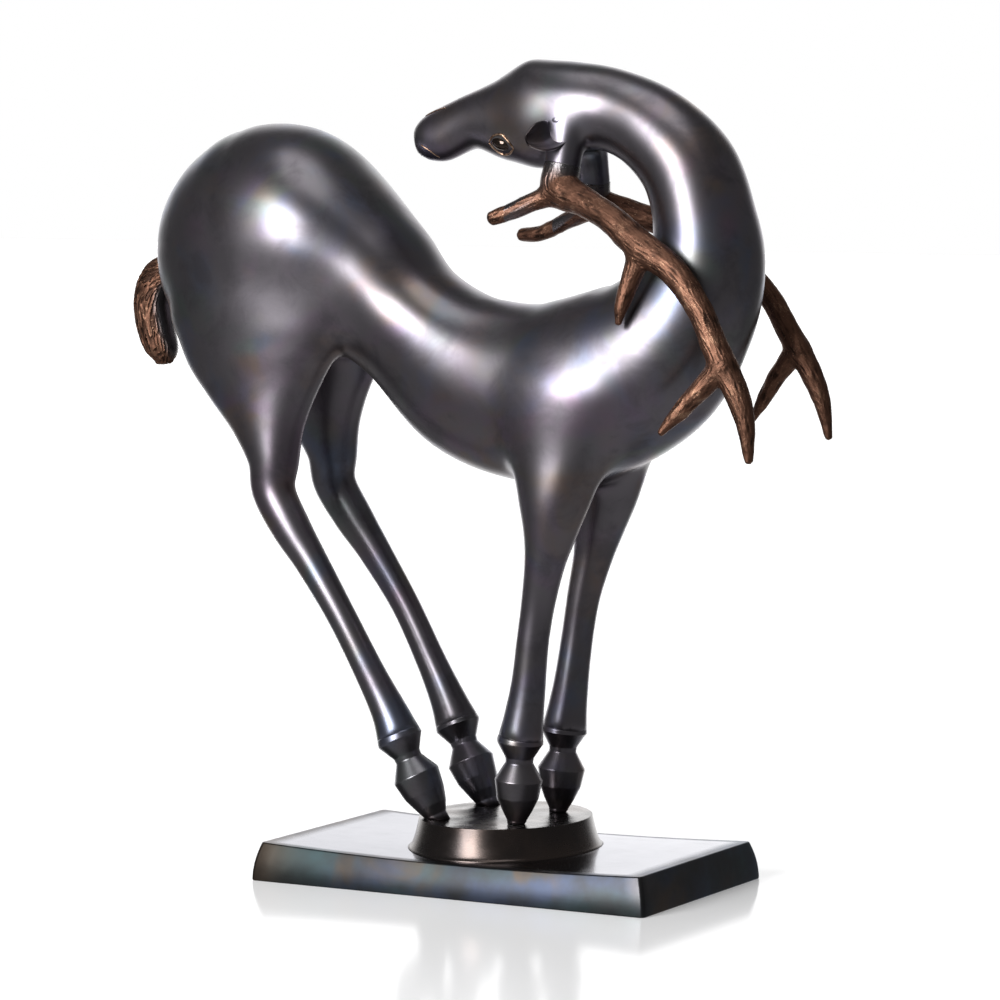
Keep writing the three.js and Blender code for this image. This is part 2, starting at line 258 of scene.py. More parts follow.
plinth_bronze = new_finish("plinth bronze", 1.0, plinth_recipe, {"Specular Tint": (0.85, 0.85, 0.88, 1)})
side_share = np.linspace(0, 1, 13)[:, None]
side_line = np.concatenate([PLINTH_TAPER * side_share ** 2, plinth_height * side_share], 1)
top_start = np.array([[PLINTH_TAPER + 4 * PLINTH_EASING, plinth_height]])
foot_start = np.array([[4 * PLINTH_EASING, 0.0]])
foot_edge = eased(np.concatenate([foot_start, side_line[:2]]), PLINTH_EASING)[:-1]
top_edge = eased(np.concatenate([side_line[-2:], top_start]), 0.8 * PLINTH_EASING)[1:]
plinth_line = np.concatenate([foot_edge, side_line[1:-1], top_edge])
plinth_rings = []
for inset, level in plinth_line:
    outline = rounded_rectangle(half_length - inset, half_width - inset, PLINTH_CORNER)
    top_here = plinth_top(outline[:, 0], outline[:, 1])
    plinth_rings.append(np.column_stack([outline, level / plinth_height * top_here]))
for share in (0.9, 0.85, 0.8, 0.7, 0.6, 0.5, 0.4, 0.3, 0.2, 0.1):
    outline = rounded_rectangle(half_length - PLINTH_TAPER, half_width - PLINTH_TAPER, PLINTH_CORNER) * share
    plinth_rings.append(np.column_stack([outline, plinth_top(outline[:, 0], outline[:, 1])]))
plinth_piece = add_rings("plinth_casting", plinth_rings, plinth_bronze, "plinth_bronze", ["plinth"])
top_rings = np.arange(len(plinth_rings)) >= len(plinth_line)
on_top = np.concatenate([np.repeat(top_rings, len(plinth_rings[0])), [False, True]])
mirror = plinth_piece.data.attributes.new("mirror", "FLOAT", "POINT")
mirror.data.foreach_set("value", on_top.astype(np.float32))

# Mound
# The real mound is a low oval boss in the same bronze, browner than the plinth, that sits on its top with a
# crisp joint. Its side sweeps in to a thin rim, and its polished top is slightly wavy round the feet.
MOUND_SLOPE = 8.2 * MM
MOUND_EASING = 0.8 * MM
MOUND_SUNK = 0.3 * MM
MOUND_WAVE = 0.3 * MM

mound_high = np.array(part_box("mound")[1])
mound_top = mound_high[2]
MOUND_DARK = (0.075, 0.064, 0.062)
MOUND_BROWN = (0.105, 0.083, 0.075)


def mound_recipe(place):
    """Dark brown bronze with redder clouds and fine marks."""
    cloud = place.noise(26, 3.0, warp=0.5).within(0.4, 0.66)
    colour = cloud.blend(MOUND_DARK, MOUND_BROWN)
    rub = place.noise(800, 3.0, 0.6, stretch=(0.3, 0.3, 1))
    smear = place.noise(70, 3.0, 0.6)
    return colour, 0.16 + 0.16 * smear + 0.05 * rub, rub + 3.0 * smear, 0.15, 0.1 * MM


def waves(points, count, low, high, seed):
    """Uneven waves from -1 to 1: a mean of sines in seeded directions, with wavelengths from low to high."""
    draw = np.random.default_rng(seed)
    total = np.zeros(len(points))
    for _ in range(count):
        direction = draw.normal(size=points.shape[1])
        direction *= 2 * np.pi / draw.uniform(low, high) / np.linalg.norm(direction)
        total += np.sin(points @ direction + draw.uniform(0, 2 * np.pi))
    return total / math.sqrt(count)


mound_bronze = new_finish("mound bronze", 1.0, mound_recipe)
mound_angle = np.linspace(0, 2 * np.pi, 161)[:-1]
mound_round = np.stack([np.cos(mound_angle), np.sin(mound_angle)], 1)
slope_share = np.linspace(0, 1, 16)[:, None]
slope_line = np.concatenate([MOUND_SLOPE * np.sqrt(slope_share), slope_share], 1)
slope_line[:, 1] *= mound_top
rim_start = [[MOUND_SLOPE + 6 * MOUND_EASING, mound_top]]
mound_rim = eased(np.concatenate([slope_line[-2:], rim_start]), MOUND_EASING)
mound_line = np.concatenate([slope_line[:-1], mound_rim[1:]])
mound_line[:, 1] /= mound_top
mound_rings = []
for inset, share in mound_line:
    outline = mound_round * (mound_high[:2] - inset)
    foot = plinth_top(outline[:, 0], outline[:, 1]) - MOUND_SUNK
    mound_rings.append(np.column_stack([outline, foot + (mound_top - foot) * share]))
mound_rings.insert(0, mound_rings[0] * [0.9, 0.9, 1] - [0, 0, MOUND_SUNK])
for share in np.linspace(0.97, 0.06, 22):
    outline = mound_round * (mound_high[:2] - mound_line[-1, 0]) * share
    ripple = MOUND_WAVE * (waves(outline, 9, 0.02, 0.05, 4) - 1.2) * min(1, (1 - share) / 0.1)
    mound_rings.append(np.column_stack([outline, mound_top + np.minimum(ripple, 0)]))
add_rings("mound_casting", mound_rings, mound_bronze, "mound_bronze", ["mound"])

# Deer: rump, trunk, neck, head, legs and the roots of the antlers
# The real figure is one hollow casting, filed and polished all over until its limbs run into each other
# without an edge. Its free form is given in hundredths of its height from the soles to the bent throat.
DEER_HEIGHT = 0.512
UNIT = DEER_HEIGHT / 100
sole_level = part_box("deer")[0].z

# Spine from the rump over the waist, chest and neck to the muzzle, as [x, y, z, depth, width].
SPINE = [
    [-52.2, 0, 74.1, 3.9, 3.0],
    [-50.4, 0, 74.1, 8.6, 6.4],
    [-47.2, 0, 74.1, 12.2, 9.1],
    [-43.1, 0, 74.2, 14.7, 11.0],
    [-38.3, 0, 74.5, 16.2, 12.2],
    [-32.8, 0, 74.7, 16.4, 12.9],
    [-27.0, 0, 72.9, 13.6, 12.2],
    [-20.7, 0, 69.7, 10.5, 9.9],
    [-14.4, 0, 64.7, 8.9, 8.7],
    [-5.3, 0, 58.4, 10.9, 9.1],
    [3.9, 0, 56.2, 11.7, 9.8],
    [12.1, 0, 57.1, 12.1, 10.4],
    [21.0, 0, 61.1, 11.2, 9.8],
    [26.6, 0, 67.2, 9.3, 8.4],
    [29.2, 0, 73.7, 7.9, 7.5],
    [29.1, 0, 79.1, 6.7, 6.8],
    [26.9, 0, 85.6, 6.3, 6.3],
    [21.9, 0, 90.5, 5.7, 5.6],
    [16.0, 0, 93.1, 5.4, 4.9],
    [10.2, 0, 93.6, 5.9, 5.4],
    [5.3, 0, 92.7, 7.2, 5.4],
    [0.6, 0, 92.1, 5.7, 4.3],
    [-4.7, 0, 91.7, 3.7, 3.3],
    [-9.4, 0, 89.9, 3.5, 2.8],
    [-10.9, 0, 89.4, 3.2, 2.65],
    [-12.2, 0, 88.9, 2.6, 2.2],
    [-12.9, 0, 88.6, 1.8, 1.6],
    [-13.3, 0, 88.5, 0.9, 0.8],
]
RUMP_CAP = 0.8
MUZZLE_CAP = 0.25
# The body is fuller above than below between the hips and the waist.
BACK_FULLNESS = [0, 0, 0.06, 0.18, 0.14, 0, 0, 0, 0, 0, 0, 0, 0, 0]

# Hind leg from the hip through the thigh and hock to the rim above the fetlock.
HIND_LEG = [
    [-35.0, 6.0, 74.0, 10.0, 4.0],
    [-34.0, 6.3, 67.0, 13.6, 5.6],
    [-33.6, 6.6, 61.0, 12.0, 5.0],
    [-33.0, 6.9, 56.2, 8.9, 4.2],
    [-32.1, 7.3, 51.0, 5.45, 3.6],
    [-31.3, 7.6, 46.5, 3.6, 3.2],
    [-31.1, 7.9, 42.4, 3.0, 2.7],
    [-28.2, 8.2, 37.6, 2.7, 2.5],
    [-25.0, 8.3, 33.2, 2.3, 2.1],
    [-20.3, 8.4, 26.2, 2.0, 1.85],
    [-16.1, 8.1, 18.8, 2.1, 1.95],
    [-13.3, 7.8, 13.7, 2.5, 2.35],
    [-11.7, 7.8, 10.2, 3.1, 3.0],
]

# Foreleg from the shoulder to the rim above the fetlock.
FORE_LEG = [
    [12.0, 5.6, 56.0, 8.0, 4.6],
    [11.4, 6.4, 49.0, 6.8, 4.4],
    [10.9, 6.9, 43.0, 5.0, 4.0],
    [10.3, 6.9, 38.6, 3.6, 3.4],
    [9.5, 6.8, 34.6, 2.7, 2.7],
    [8.3, 6.4, 29.2, 2.25, 2.2],
    [7.4, 6.3, 23.8, 2.15, 2.1],
    [6.7, 6.1, 18.4, 2.3, 2.25],
    [6.0, 6.1, 13.9, 2.65, 2.6],
    [5.5, 6.1, 10.8, 3.1, 3.0],
]

# Right antler: pedicle and beam with its blunt tip, then the three tines.
BEAM = [
    [10.4, 2.8, 92.6, 2.6, 2.2],
    [10.6, 3.3, 89.8, 2.8, 2.4],
    [10.8, 4.2, 86.6, 2.4, 2.2],
    [10.9, 5.0, 83.2, 2.5, 2.3],
    [15.4, 6.5, 81.3, 1.85, 1.8],
    [19.7, 7.7, 79.2, 1.8, 1.8],
    [24.3, 8.8, 76.0, 2.0, 1.9],
    [29.3, 9.6, 73.0, 1.8, 1.7],
    [33.4, 10.3, 68.3, 1.6, 1.5],
    [36.0, 10.8, 63.4, 1.7, 1.5],
    [38.9, 11.0, 58.2, 1.6, 1.4],
    [40.3, 11.0, 53.9, 1.2, 1.1],
    [40.8, 11.0, 49.4, 0.5, 0.5],
]
PEDICLE_ROWS = 3
# The left antler is slimmer and is turned about its middle, so that its root sits lower than the right
# one's. Its tip leans out below the fork.
LEFT_SLIMNESS = 0.9
LEFT_TURN = 0.127
LEFT_TURN_MIDDLE = 28
LEFT_LEAN = 0.1
LEFT_LEAN_START = 58

# How softly the polisher has let each form run into the next, and then the size of the body's mesh cells,
# how often its surface is evened out, and how far its trunk reaches to the sides and to the front.
HIP_SOFTNESS = 15 * MM
SHOULDER_SOFTNESS = 16 * MM
PEDICLE_SOFTNESS = 7 * MM
BODY_CELL = 2.4 * MM
BODY_CALM = 10
TRUNK_SIDE = 90 * MM
TRUNK_FRONT = 200 * MM
# More than any distance that is worked with.
FAR = 0.2


def between(rows, places):
    """Values between the rows of a table, by the cubic whose slope at each row is that of its neighbours."""
    rows = np.asarray(rows, float)
    start = np.clip(np.floor(places).astype(int), 0, len(rows) - 2)
    t = (places - start)[:, None]
    before, here, there, after = (rows[np.clip(start + k, 0, len(rows) - 1)] for k in (-1, 0, 1, 2))
    leaving, arriving = (there - before) / 2, (after - here) / 2
    value = here * (2 * t ** 3 - 3 * t ** 2 + 1) + there * (3 * t ** 2 - 2 * t ** 3)
    return value + leaving * (t ** 3 - 2 * t ** 2 + t) + arriving * (t ** 3 - t ** 2)


def unit(vectors):
    return vectors / np.linalg.norm(vectors, axis=-1, keepdims=True)


class Limb:
    """A round limb along a table of rows [x, y, z, depth, width] in hundredths of the deer's height. The
    depth lies along Y x the limb's direction, the width across both, and each end is half an ellipsoid.
    Fullness, given at even places along the limb, makes an egg of a section: its width times
    1 - fullness (depth offset / depth)."""

    def __init__(self, rows, caps, start=0.0, stop=0.0, steps=10, mirrored=False, fullness=(0.0, 0.0)):
        count = int((len(rows) - 1 - start - stop) * steps) + 1
        places = np.linspace(start, len(rows) - 1 - stop, count)
        stations = between(rows, places) * UNIT
        even = places * (len(fullness) - 1) / (len(rows) - 1)
        self.fullness = between(np.array(fullness)[:, None], even)
        self.centre = stations[:, :3] + [0, 0, sole_level]
        self.along = unit(np.gradient(self.centre, axis=0))
        self.sizes = stations[:, 3:5]
        gaps = np.linalg.norm(np.diff(self.centre, axis=0), axis=1)
        self.run = np.concatenate([[0.0], np.cumsum(gaps)])
        self.caps = np.array(caps) * UNIT
        self.mirrored = mirrored
        reach = self.sizes.max() + self.caps.max() + 8 * BODY_CELL
        self.box = self.centre.min(0) - reach, self.centre.max(0) + reach

    def placed(self, points):
        """The points, on the left side where the limb stands for a pair."""
        x, y, z = points.T
        return np.column_stack([x, np.abs(y), z]) if self.mirrored else points

    def nearest(self, points):
        """Index of the station whose plane holds each point: first the station that is nearest for its
        size, in blocks that fit the memory, and then a few walks along the limb towards the point's plane."""
        points = self.placed(points)
        squares = (self.centre ** 2).sum(1)
        weight = 1 / self.sizes.prod(1)
        block = 40000
        station = np.zeros(len(points), int)
        for k in range(0, len(points), block):
            part = points[k:k + block]
            gap = (part ** 2).sum(1)[:, None] - 2 * part @ self.centre.T + squares
            station[k:k + block] = np.argmin(gap * weight, axis=1)
        for _ in range(8):
            ahead = ((points - self.centre[station]) * self.along[station]).sum(1)
            walked = np.interp(self.run[station] + 0.8 * ahead, self.run, np.arange(len(self.run)))
            station = np.rint(walked).astype(int)
        return station

    def coordinates(self, points, nearest):
        """Offsets of the points to the front, across and beyond the ends, the half sizes there, and the
        place along the limb in stations. The station's plane through each point is found by a linear step
        between the two stations on either side of it."""
        points = self.placed(points)
        last = len(self.centre) - 1
        ahead = ((points - self.centre[nearest]) * self.along[nearest]).sum(1)
        other = np.clip(nearest + np.where(ahead >= 0, 1, -1), 0, last)
        beyond_end = other == nearest
        ahead_other = ((points - self.centre[other]) * self.along[other]).sum(1)
        gap = np.where(beyond_end, 1.0, ahead - ahead_other)
        share = np.where(beyond_end, 0.0, np.clip(ahead / np.where(np.abs(gap) < 1e-9, 1e-9, gap), 0, 1))
        lerp = lambda values: values[nearest] + (values[other] - values[nearest]) * share[:, None]
        along = unit(lerp(self.along))
        front = unit(np.cross([0.0, 1.0, 0.0], along))
        across = np.cross(along, front)
        offset = points - lerp(self.centre)
        local = np.stack([(offset * front).sum(1), (offset * across).sum(1)], 1)
        past = np.where(beyond_end, np.abs(ahead), 0.0)
        cap = np.where(nearest < last / 2, self.caps[0], self.caps[1])
        sizes = lerp(self.sizes)
        egg = lerp(self.fullness)[:, 0] * np.clip(local[:, 0] / sizes[:, 0], -1, 1)
        sizes[:, 1] *= 1 - egg
        return local, past, sizes, cap, nearest + (other - nearest) * share

    def distance(self, points, nearest):
        """Signed distance, near the surface: q (q - 1) / |gradient|, where q is the point's offset in units
        of the half sizes."""
        local, past, sizes, cap, _ = self.coordinates(points, nearest)
        offsets = np.column_stack([local, past])
        halves = np.column_stack([sizes, cap])
        q = np.maximum(np.sqrt(((offsets / halves) ** 2).sum(1)), 1e-4)
        slope = np.sqrt(((offsets / halves ** 2) ** 2).sum(1))
        return q * (q - 1) / np.maximum(slope, 1e-4 / halves.max(1))


def run_together(first, second, softness):
    """Union of two solids with a fillet: the lesser distance, less h^2 softness / 4, where h falls from 1
    where the two are equal to 0 where they differ by the softness."""
    h = np.maximum(softness - np.abs(first - second), 0) / softness
    return np.minimum(first, second) - h ** 2 * softness / 4


class Figure:
    """Limbs that run together, each with its softness."""

    def __init__(self, limbs, relief=None):
        self.limbs = limbs
        self.relief = relief

    def nearest(self, points):
        """For each limb, the points that its box holds and their nearest stations."""
        found = []
        for limb, _ in self.limbs:
            placed = limb.placed(points)
            held = np.flatnonzero(((placed > limb.box[0]) & (placed < limb.box[1])).all(1))
            found.append((held, limb.nearest(points[held])))
        return found

    def distance(self, points, nearest=None):
        nearest = nearest or self.nearest(points)
        total = np.full(len(points), FAR)
        for (limb, softness), (held, station) in zip(self.limbs, nearest):
            if len(held):
                total[held] = run_together(total[held], limb.distance(points[held], station), softness)
        return total - self.relief(points, self, nearest) if self.relief else total

    def slope(self, points, nearest, step=0.1 * MM):
        """Gradient of the distance by central differences."""
        sides = [self.distance(points + shift, nearest) - self.distance(points - shift, nearest)
                 for shift in np.eye(3) * step]
        return np.stack(sides, 1) / (2 * step)


def sampled(figure, low, high, cell):
    """Distances on a grid: everywhere on a grid four times as coarse, and on the fine one only in the
    coarse cells that the surface may cross and in their neighbours. The rest keeps the coarse value, of
    which only the sign counts."""
    coarse = 4
    counts = np.ceil((high - low) / (cell * coarse)).astype(int) + 1
    axes = [low[k] + cell * coarse * np.arange(counts[k]) for k in range(3)]
    nodes = np.stack(np.meshgrid(*axes, indexing="ij"), -1).reshape(-1, 3)
    rough = figure.distance(nodes).reshape(counts)
    least, most = np.full(counts - 1, FAR), np.full(counts - 1, -FAR)
    for x, y, z in np.ndindex(2, 2, 2):
        part = rough[x:x + counts[0] - 1, y:y + counts[1] - 1, z:z + counts[2] - 1]
        least, most = np.minimum(least, part), np.maximum(most, part)
    crossed = (least < cell * coarse) & (most > -cell * coarse)
    for axis in range(3):
        ahead, behind = np.roll(crossed, 1, axis), np.roll(crossed, -1, axis)
        crossed = crossed | ahead | behind
    fine_cells = crossed.repeat(coarse, 0).repeat(coarse, 1).repeat(coarse, 2)
    wanted = np.zeros(np.array(fine_cells.shape) + 1, bool)
    for x, y, z in np.ndindex(2, 2, 2):
        wanted[x:x + fine_cells.shape[0], y:y + fine_cells.shape[1], z:z + fine_cells.shape[2]] |= fine_cells
    spread = rough.repeat(coarse, 0).repeat(coarse, 1).repeat(coarse, 2)
    values = spread[:wanted.shape[0], :wanted.shape[1], :wanted.shape[2]].copy()
    values[wanted] = figure.distance(low + cell * np.argwhere(wanted))
    return values


def netted(values, low, cell):
    """Points and quads of the surface where the grid's values change sign: one point in each crossed cell,
    at the mean of the crossings on its edges, and one quad across each crossed edge."""
    shape = np.array(values.shape)
    flat = lambda index: np.ravel_multi_index(index.T, shape)
    cells, crossings, quads = [], [], []
    for axis in range(3):
        step = np.eye(3, dtype=int)[axis]
        here = np.take(values, np.arange(shape[axis] - 1), axis)
        there = np.take(values, np.arange(1, shape[axis]), axis)
        edge = np.argwhere((here < 0) != (there < 0))
        start, end = here[tuple(edge.T)], there[tuple(edge.T)]
        crossing = edge + step * (start / (start - end))[:, None]
        second, third = np.eye(3, dtype=int)[(axis + 1) % 3], np.eye(3, dtype=int)[(axis + 2) % 3]
        around = [flat(edge - second - third), flat(edge - third), flat(edge), flat(edge - second)]
        cells += around
        crossings += [crossing] * 4
        quad = np.stack(around, 1)
        quads.append(np.where((start < 0)[:, None], quad, quad[:, ::-1]))
    names, member = np.unique(np.concatenate(cells), return_inverse=True)
    crossings = np.concatenate(crossings)
    count = np.bincount(member)
    middle = np.stack([np.bincount(member, crossings[:, k]) for k in range(3)], 1) / count[:, None]
    return low + cell * middle, np.searchsorted(names, np.concatenate(quads))


def evened(points, quads, share):
    """Each point moved by that share towards the mean of its neighbours along the quads' sides."""
    total, count = np.zeros_like(points), np.zeros(len(points))
    for corner in range(4):
        for other in ((corner + 1) % 4, (corner + 3) % 4):
            for k in range(3):
                total[:, k] += np.bincount(quads[:, corner], points[quads[:, other], k], len(points))
            count += np.bincount(quads[:, corner], minlength=len(points))
    return points + share * (total / count[:, None] - points)


def skinned(figure, low, high, cell, rounds=3, calm=0):
    """Surface of a figure as points, quads and normals: netted on a grid, then evened out and drawn back
    onto the surface by Newton steps, a few times over. Calm is the number of times that the normals are
    evened out at the end, a quarter as often for the points, which takes out what a polisher would."""
    points, quads = netted(sampled(figure, low, high, cell), low, cell)
    for turn in range(rounds):
        if turn:
            points = evened(points, quads, 0.5)
        nearest = figure.nearest(points)
        slope = figure.slope(points, nearest)
        value = figure.distance(points, nearest)
        step = value / np.maximum((slope ** 2).sum(1), 0.2)
        points = points - slope * np.clip(step, -cell, cell)[:, None]
    normals = unit(figure.slope(points, figure.nearest(points)))
    for turn in range(calm):
        normals = unit(evened(normals, quads, 0.6))
        if turn % 4 == 0:
            points = evened(points, quads, 0.5)
    return points, quads, normals


def turned_left(rows):
    """Rows of the left antler: slimmer, turned about the antler's middle and leaning out at the tip."""
    rows = np.array(rows, float)
    turned = rows.copy()
    turned[:, 0] += LEFT_LEAN * np.maximum(0, LEFT_LEAN_START - rows[:, 2])
    turned[:, 2] += LEFT_TURN * (rows[:, 0] - LEFT_TURN_MIDDLE)
    turned[:, 3:] *= LEFT_SLIMNESS
    return turned


def on_right(rows):
    """Rows mirrored to the deer's right side."""
    return np.array(rows, float) * [1, -1, 1, 1, 1]


GUNMETAL = (0.205, 0.19, 0.21)
GUNMETAL_DARK = (0.125, 0.115, 0.13)
BLUE_SHEEN = (0.15, 0.185, 0.27)
VIOLET_SHEEN = (0.235, 0.17, 0.235)
GREEN_SHEEN = (0.165, 0.21, 0.195)
BROWN_SHEEN = (0.25, 0.18, 0.15)


def deer_recipe(place):
    """Gunmetal bronze whose thin oxide shifts softly from blue and violet to green and brown, rubbed with
    fine marks in two directions."""
    first = place.noise(11, 2.0, warp=0.7)
    second = place.noise(17, 2.0, turn=(0.5, 0.2, 0.9), warp=0.9)
    cool = first.within(0.40, 0.60).blend(BLUE_SHEEN, VIOLET_SHEEN)
    warm = first.within(0.42, 0.58).blend(GREEN_SHEEN, BROWN_SHEEN)
    sheen = second.within(0.45, 0.60).blend(cool, warm)
    amount = place.noise(24, 3.0, 0.55, warp=0.5).within(0.35, 0.75)
    tinted = (0.85 * amount).blend(GUNMETAL, sheen)
    smear = place.noise(38, 4.0, 0.6, warp=0.4)
    colour = (0.7 * smear.within(0.45, 0.72)).blend(tinted, GUNMETAL_DARK)
    rub = place.noise(1500, 2.0, 0.6, stretch=(0.04, 1, 1), turn=(0, 0.6, 0.3))
    cross_rub = place.noise(1300, 2.0, 0.6, stretch=(1, 1, 0.05), turn=(0.4, 0.2, 0))
    grain = 0.5 * rub + 0.5 * cross_rub
    roughness = 0.25 + 0.12 * smear + 0.05 * grain
    return colour, roughness, grain + 4.0 * smear, 0.10, 0.1 * MM


deer_bronze = new_finish("deer bronze", 1.0, deer_recipe)
pedicle_stop = len(BEAM) - 1 - PEDICLE_ROWS + 0.3
body = Figure([
    (Limb(SPINE, (RUMP_CAP, MUZZLE_CAP), fullness=BACK_FULLNESS), HIP_SOFTNESS),
    (Limb(HIND_LEG, (1.5, 0.3), stop=0.16, mirrored=True), HIP_SOFTNESS),
    (Limb(FORE_LEG, (4.0, 0.3), stop=0.16, mirrored=True), SHOULDER_SOFTNESS),
    (Limb(on_right(BEAM), (1.0, 1.0), stop=pedicle_stop), PEDICLE_SOFTNESS),
    (Limb(turned_left(BEAM), (1.0, 1.0), stop=pedicle_stop), PEDICLE_SOFTNESS),
])
deer_low, deer_high = (np.array(corner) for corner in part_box("deer"))
body_low = np.array([deer_low[0], -TRUNK_SIDE, deer_low[2]]) - 4 * BODY_CELL
body_high = np.array([TRUNK_FRONT, TRUNK_SIDE, deer_high[2]]) + 4 * BODY_CELL
body_points, body_quads, body_normals = skinned(body, body_low, body_high, BODY_CELL, calm=BODY_CALM)
add_piece("deer_body", body_points, [body_quads], deer_bronze, replaced=["deer"], normals=body_normals)

# Feet
# Each foot is cast with its leg and turned crisp with files: a sharp rim, a cone undercut to a thin neck, a
# cone out to a ridge, and a hoof that tapers to a small toe on the mound.
HIND_TOE = [-6.9, 6.9, 0]
FORE_TOE = [4.8, 5.8, 0]
# Profile below the rim as [share of the way to the toe, radius, shift forward].
HIND_HOOF = [
    [0.19, 1.85, 0.0],
    [0.25, 1.80, 0.0],
    [0.46, 3.15, 0.0],
    [0.68, 2.75, 0.1],
    [0.84, 2.1, 0.3],
    [0.96, 1.5, 0.3],
    [1.12, 1.4, 0.2],
]
FORE_HOOF = HIND_HOOF[:3] + [
    [0.68, 2.75, 0.0],
    [0.84, 2.0, 0.0],
    [0.96, 1.3, 0.0],
    [1.12, 1.15, 0.0],
]
FOOT_EASING = 0.55 * MM
FOOT_COVER = 0.05 * MM
FOOT_SUNK = 0.2 * MM
FLARE_SHARE = 0.3


def foot_surface(rows, toe, hoof, side):
    """Rings about a straight axis from the rim to the toe, with the profile's radii and eased corners, under
    a short sleeve that follows the end of the leg. What would reach below the mound's top is flattened."""
    last = len(rows) - 1
    sleeve = between(rows, np.linspace(last - FLARE_SHARE, last, 6)) * UNIT
    rim = sleeve[-1, :3]
    leg_along = unit(sleeve[-1, :3] - sleeve[0, :3])
    axis = np.array(toe) * UNIT - rim
    length = np.linalg.norm(axis)
    down = [[-np.linalg.norm(row[:3] - rim), row[3:].mean() + FOOT_COVER, 0.0] for row in sleeve[:-1]]
    down[0][1] -= 4 * FOOT_COVER
    below = [[share * length, radius * UNIT, shift * UNIT] for share, radius, shift in hoof]
    corners = down[1:] + [[0.0, sleeve[-1, 3:].mean() + FOOT_COVER, 0.0]] + below
    profile = np.concatenate([[down[0]], eased(corners, FOOT_EASING)])
    angle = np.linspace(0, 2 * np.pi, 65)[:-1]
    rings = []
    for distance, radius, shift in profile:
        lean = np.clip((distance + 1 * MM) / (2 * MM), 0, 1)
        along = unit(leg_along * (1 - lean) + unit(axis) * lean)
        centre = rim + (leg_along if distance < 0 else unit(axis)) * distance + [shift, 0, 0]
        front = unit(np.cross([0.0, 1.0, 0.0], along))
        across = np.cross(along, front)
        rings.append(centre + radius * (np.cos(angle)[:, None] * front + np.sin(angle)[:, None] * across))
    rings = np.array(rings) + [0, 0, sole_level]
    rings[..., 2] = np.maximum(rings[..., 2], mound_top - FOOT_SUNK)
    rings[..., 1] *= side
    return rings[:, ::side]


SIDES = (("left", 1), ("right", -1))
FEET = (("hind", HIND_LEG, HIND_TOE, HIND_HOOF), ("fore", FORE_LEG, FORE_TOE, FORE_HOOF))
for place_name, rows, toe, hoof in FEET:
    for side_name, side in SIDES:
        add_rings(f"{place_name}_foot_{side_name}", foot_surface(rows, toe, hoof, side), deer_bronze)

# Ears, eyes and muzzle
# The ears are cupped leaves cast with the head. Each eye is a polished ball between two raised lids, and two
# fine lines mark mouth and nostril. Lids and lines are rubbed back to bright metal.
EAR = [
    [10.8, 2.9, 90.9, 1.5, 0.9],
    [10.3, 5.6, 90.2, 2.0, 1.1],
    [9.5, 8.0, 89.7, 2.0, 1.0],
    [8.6, 9.9, 89.3, 0.8, 0.5],
]
EAR_ROOT = [10.3, 4.3, 91.9]
EAR_ROOT_SIZE = [1.7, 1.3, 1.3]
EYE = [1.03, 3.46, 88.69]
EYE_DIRECTION = [1.0, 0.0, -0.15]
EYE_LONG = 1.55
EYE_TALL = 0.98
EYE_BULGE = 0.5
EYE_SUNK = 0.45
# Points that the lids and lines pass through, on the deer's left side.
LID_ABOVE = [[-0.75, 3.24, 88.98], [0.2, 3.9, 89.8], [1.6, 4.15, 90.0], [2.5, 4.1, 89.2], [3.2, 3.67, 88.3]]
LID_BELOW = [[-0.75, 3.24, 88.9], [0.0, 2.7, 87.9], [0.9, 2.38, 87.4], [2.1, 2.8, 87.55], [3.2, 3.67, 88.25]]
MOUTH_LINE = [[-11.6, 0.9, 92.3], [-10.17, 1.22, 93.05], [-9.2, 1.5, 93.35], [-8.16, 1.82, 93.51]]
NOSTRIL_LINE = [[-11.49, 2.24, 88.65], [-10.24, 2.17, 87.93], [-9.7, 1.8, 87.5], [-9.13, 1.46, 87.01]]
LID_RADIUS = 0.8 * MM
LINE_RADIUS = 0.4 * MM

RUBBED_METAL = (0.62, 0.42, 0.29)
RUBBED_DARK = (0.26, 0.15, 0.10)
EYE_DARK = (0.09, 0.07, 0.06)
EYE_BROWN = (0.20, 0.13, 0.09)


def rubbed_recipe(place):
    """Light copper-coloured metal with darker stretches where it was rubbed less."""
    wear = place.noise(420, 3.0).within(0.38, 0.6)
    return wear.blend(RUBBED_DARK, RUBBED_METAL), 0.28 + 0.1 * wear, wear, 0.1, 0.1 * MM


def eye_recipe(place):
    """Dark, brightly polished bronze with small brown flecks."""
    fleck = place.noise(700, 3.0).within(0.5, 0.72)
    return fleck.blend(EYE_DARK, EYE_BROWN), 0.1 + 0.1 * fleck, fleck, 0.1, 0.05 * MM


def ear_surface(side):
    """Rings along the ear's rows. The back of a ring is half an ellipse, and its front rises by
    width (1.6 s (1 - s) - 0.6 s^2) with s the sine of the angle round, which leaves a rim about a hollow."""
    rows = between(EAR, np.linspace(0, len(EAR) - 1, 31)) * UNIT
    centre = rows[:, :3] + [0, 0, sole_level]
    along = unit(np.gradient(centre, axis=0))
    front = unit(np.cross([0.0, 1.0, 0.0], along))
    across = np.cross(along, front)
    angle = np.linspace(0, 2 * np.pi, 49)[:-1]
    s = np.sin(angle)
    rise = np.where(s > 0, 1.6 * s * (1 - s) - 0.6 * s ** 2, s)
    rings = centre[:, None] + rows[:, 3, None, None] * np.cos(angle)[:, None] * front[:, None]
    rings = rings + rows[:, 4, None, None] * rise[:, None] * across[:, None]
    return on_side(rings, side)


def on_side(rings, side):
    """Rings of a piece on the left, mirrored and turned round again for the right side."""
    return (rings * [1, side, 1])[:, ::side]


